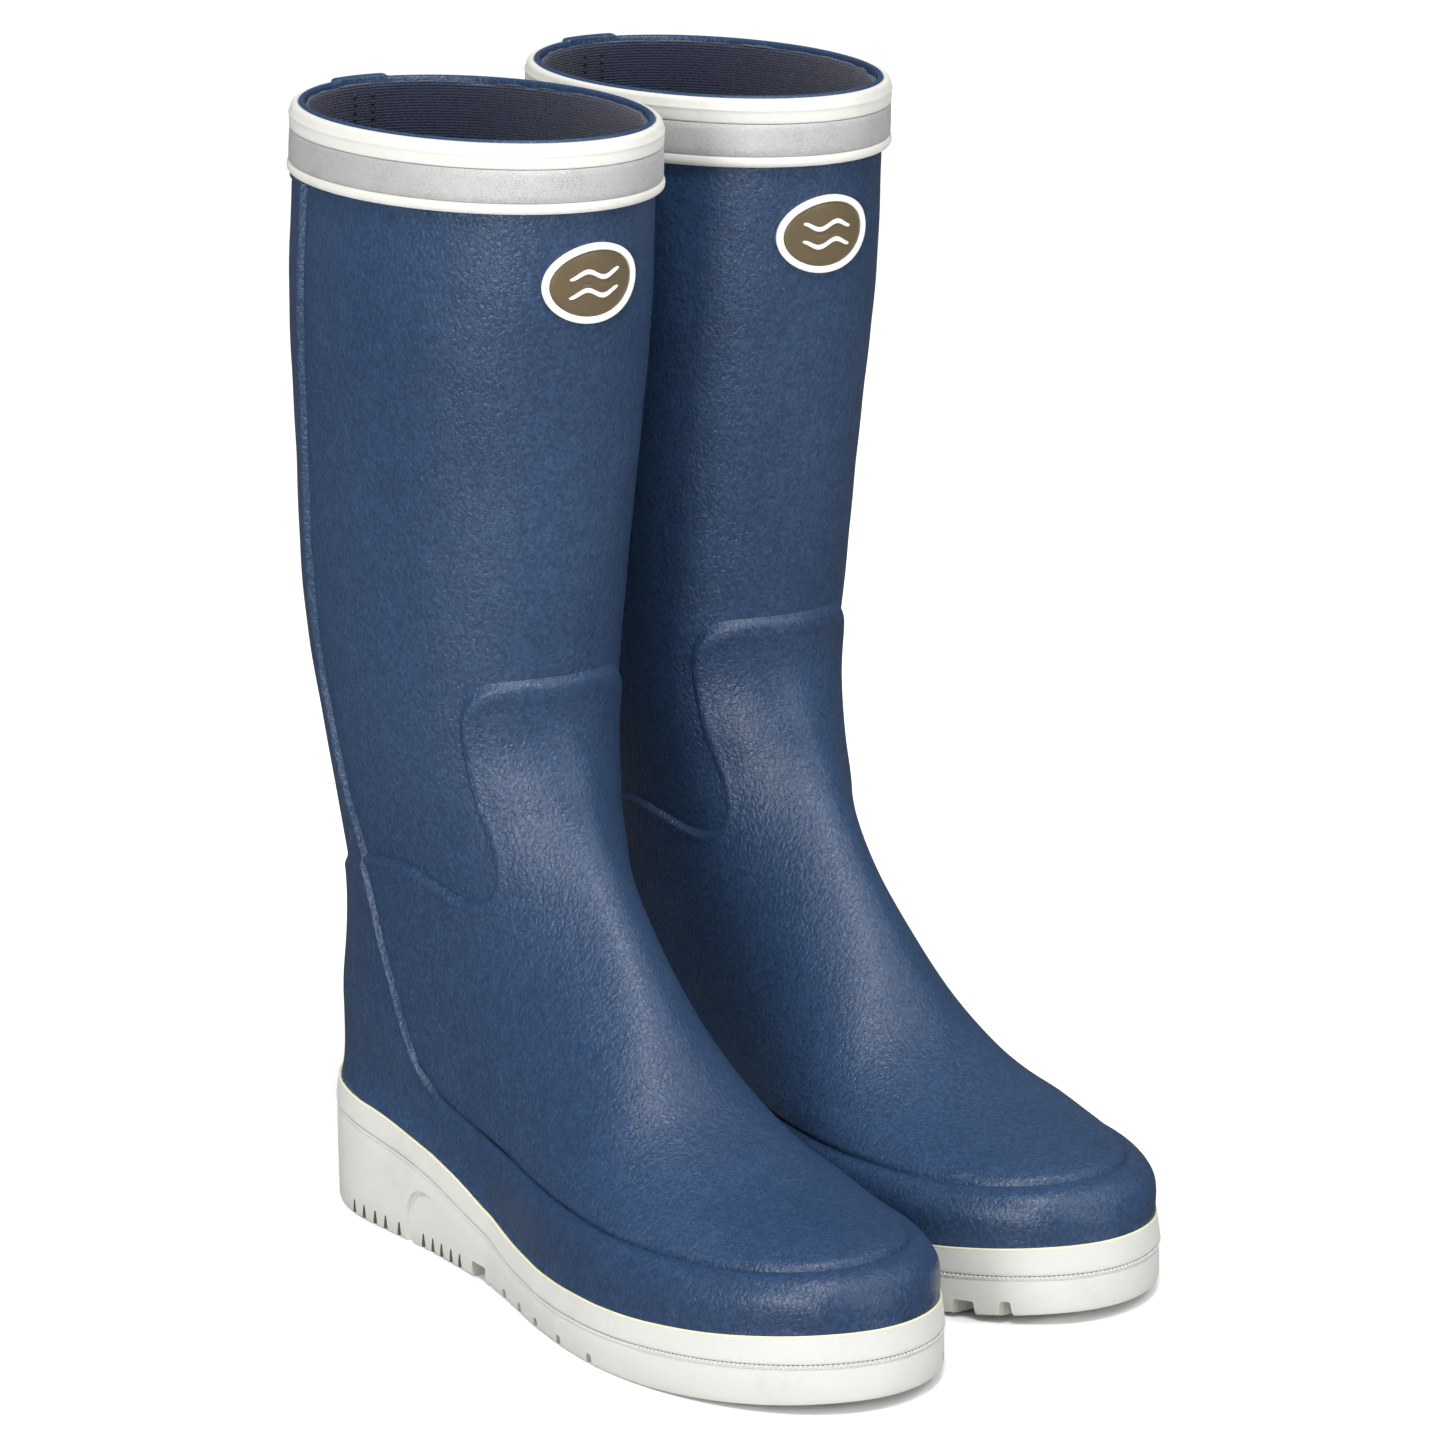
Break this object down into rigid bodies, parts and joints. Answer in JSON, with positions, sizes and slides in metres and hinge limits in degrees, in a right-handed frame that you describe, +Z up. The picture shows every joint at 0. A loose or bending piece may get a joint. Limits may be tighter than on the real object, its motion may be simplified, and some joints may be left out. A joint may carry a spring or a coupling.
{
  "type": "rubber sailing deck boots",
  "caption": "Knee-high navy rubber deck boots with a white wedge sole, a white and silver reflective collar, an oval badge, a raised vamp and a knit lining.",
  "frame": {"origin": "on the deck, in the middle of the pair's footprint", "axes": "+Z up along the legs; the toes point to -Y; the wearer's right boot is at -X and the left boot at +X"},
  "size_m": [0.2148, 0.3352, 0.3756],
  "materials": {
    "sole_rubber": "moulded off-white rubber, matt",
    "foam": "closed-cell foam",
    "shank_steel": "spring steel strip",
    "inner_rubber": "unlacquered rubber under the outer layers",
    "navy_rubber": "calendered rubber with a fine grain and a satin lacquer",
    "knit": "ribbed knit bonded to the rubber",
    "board": "pressed cellulose board",
    "footbed_cloth": "foam footbed faced with cloth",
    "collar_rubber": "smooth white rubber",
    "reflective_film": "silver glass-bead reflective film",
    "badge_olive": "moulded badge, olive brown",
    "badge_white": "raised border, white"
  },
  "bodies": {
    "right_boot": {"right_outsole": "sole_rubber", "right_sole_band": "sole_rubber", "right_midsole_wedge": "foam", "right_shank": "shank_steel", "right_foot_base": "inner_rubber", "right_toe_puff": "inner_rubber", "right_heel_stiffener": "inner_rubber", "right_leg": "navy_rubber", "right_lining": "knit", "right_insole_board": "board", "right_footbed": "footbed_cloth", "right_vamp": "navy_rubber", "right_rand": "navy_rubber", "right_back_stay": "navy_rubber", "right_collar_band": "collar_rubber", "right_reflective_strip": "reflective_film", "right_badge_plate": "badge_olive", "right_badge_border": "badge_white"},
    "left_boot": {"left_outsole": "sole_rubber", "left_sole_band": "sole_rubber", "left_midsole_wedge": "foam", "left_shank": "shank_steel", "left_foot_base": "inner_rubber", "left_toe_puff": "inner_rubber", "left_heel_stiffener": "inner_rubber", "left_leg": "navy_rubber", "left_lining": "knit", "left_insole_board": "board", "left_footbed": "footbed_cloth", "left_vamp": "navy_rubber", "left_rand": "navy_rubber", "left_back_stay": "navy_rubber", "left_collar_band": "collar_rubber", "left_reflective_strip": "reflective_film", "left_badge_plate": "badge_olive", "left_badge_border": "badge_white"}
  },
  "joints": [
    {"name": "left_boot_lift", "type": "slide", "parent": "right_boot", "child": "left_boot", "axis": [0, 0, 1], "range_m": [0, 0.45]}
  ]
}
